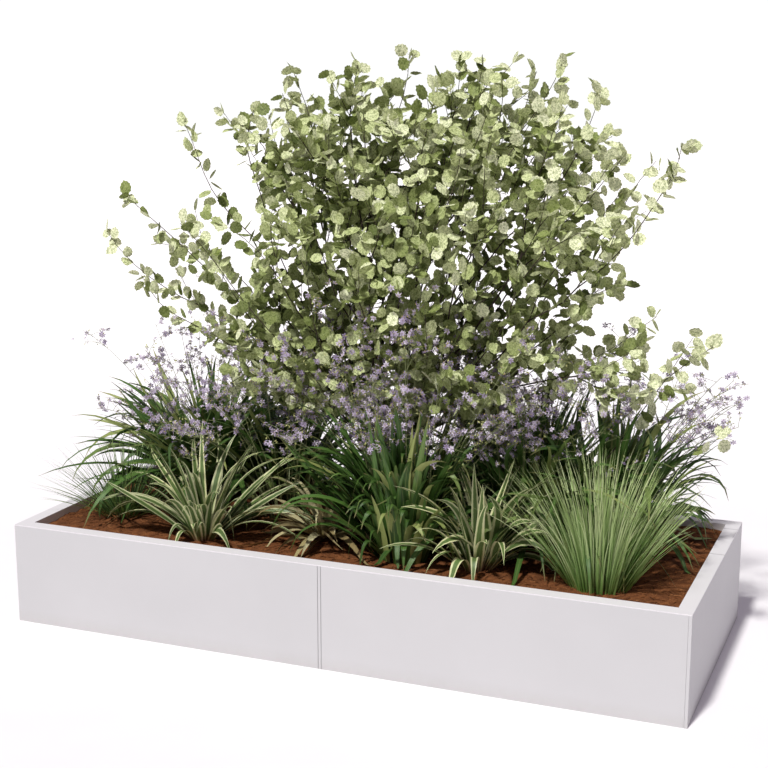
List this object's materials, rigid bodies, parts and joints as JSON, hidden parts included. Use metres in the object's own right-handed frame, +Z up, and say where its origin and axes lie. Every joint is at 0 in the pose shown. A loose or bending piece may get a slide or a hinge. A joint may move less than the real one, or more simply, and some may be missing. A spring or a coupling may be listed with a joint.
{
  "type": "planter box",
  "caption": "Long low rectangular street planter with a folded rim, thick end plates, a centre rib, a drained floor, bark mulch and mixed planting.",
  "frame": {"origin": "middle of the box's footprint, on the ground", "axes": "+X along the length to the right as seen from the front, +Y to the back, +Z up"},
  "size_m": [2.547, 1.3588, 2.033],
  "materials": {
    "powder_coat": "satin powder coat, pale grey",
    "zinc_steel": "zinc plated",
    "galvanised_sheet": "galvanised",
    "foam_board": "matte foam",
    "gravel": "rough",
    "fleece": "felted",
    "planting_soil": "crumbly, matte",
    "bark_mulch": "fibrous, matte",
    "roots": "fibrous, matte",
    "stem_wood": "rough bark",
    "shrub_leaf": "matte leaf",
    "striped_leaf": "satin leaf with cream margins",
    "strap_leaf": "satin leaf",
    "grass_blade": "matte blade",
    "dried_leaf": "dry, matte",
    "floret": "matte petal"
  },
  "bodies": {
    "root": {"panel_front_left": "powder_coat", "panel_front_right": "powder_coat", "panel_back_left": "powder_coat", "panel_back_right": "powder_coat", "end_plate_left": "powder_coat", "end_plate_right": "powder_coat", "centre_rib": "powder_coat", "rim_front": "powder_coat", "rim_back": "powder_coat", "rim_left_front": "powder_coat", "rim_left_middle": "powder_coat", "rim_left_rear": "powder_coat", "rim_right_front": "powder_coat", "rim_right_middle": "powder_coat", "rim_right_rear": "powder_coat", "rim_splices": "zinc_steel", "rim_brackets": "zinc_steel", "rim_studs": "zinc_steel", "rim_nuts": "zinc_steel", "bracket_bolts": "zinc_steel", "corner_bolts": "zinc_steel", "rib_bolts": "zinc_steel", "rib_nuts": "zinc_steel", "floor_bearer_1": "zinc_steel", "floor_bearer_2": "zinc_steel", "floor_bearer_3": "zinc_steel", "floor_bearer_4": "zinc_steel", "floor_bearer_5": "zinc_steel", "floor_bearer_6": "zinc_steel", "floor_pan_left": "galvanised_sheet", "floor_pan_right": "galvanised_sheet", "cross_tie_left": "zinc_steel", "cross_tie_right": "zinc_steel", "tie_bolts": "zinc_steel", "insulation_front": "foam_board", "insulation_back": "foam_board", "insulation_ends": "foam_board", "drainage_left": "gravel", "drainage_right": "gravel", "filter_fleece": "fleece", "soil": "planting_soil", "mulch": "bark_mulch", "root_balls": "roots", "shrub_stems": "stem_wood", "crown_middle": "shrub_leaf", "crown_left": "shrub_leaf", "crown_right": "shrub_leaf", "crown_outer": "shrub_leaf", "striped_left": "striped_leaf", "striped_right": "striped_leaf", "purple_left": "strap_leaf", "purple_centre": "strap_leaf", "purple_right": "strap_leaf", "grass_left": "grass_blade", "grass_right": "grass_blade", "dried_leaves": "dried_leaf", "flowers_left": "floret", "flowers_centre": "floret", "flowers_right": "floret"}
  },
  "joints": []
}
